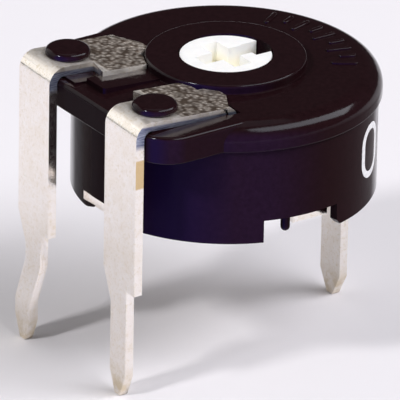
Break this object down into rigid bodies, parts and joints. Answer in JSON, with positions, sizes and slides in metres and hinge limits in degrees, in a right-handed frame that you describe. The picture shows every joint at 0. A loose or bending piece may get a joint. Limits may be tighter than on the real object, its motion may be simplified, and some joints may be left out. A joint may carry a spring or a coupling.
{
  "type": "trimmer potentiometer",
  "caption": "Small round top-adjust trimmer potentiometer with a slotted rotor, strip end terminals staked to a side lug and flat through-board pins.",
  "frame": {"origin": "on the rotor's axis, level with the pin tips", "axes": "+Z along the rotor's axis, out of its driver slot; +X from the two end pins towards the collector's pin"},
  "size_m": [0.011, 0.01, 0.0099],
  "materials": {
    "housing": "glossy black moulding",
    "element": "brown laminate with a dark printed track",
    "terminal": "dull tin plate on brass",
    "rotor": "natural white moulding",
    "wiper": "bare spring alloy"
  },
  "bodies": {
    "body": {"housing": "housing", "element": "element", "end_terminal_rear": "terminal", "end_terminal_front": "terminal", "collector_terminal": "terminal"},
    "rotor_set": {"rotor": "rotor", "wiper": "wiper"}
  },
  "joints": [
    {"name": "rotor_turn", "type": "hinge", "parent": "body", "child": "rotor_set", "pos_m": [0, 0, 0.0085], "axis": [0, 0, 1], "range_deg": [-117.5, 117.5]}
  ]
}
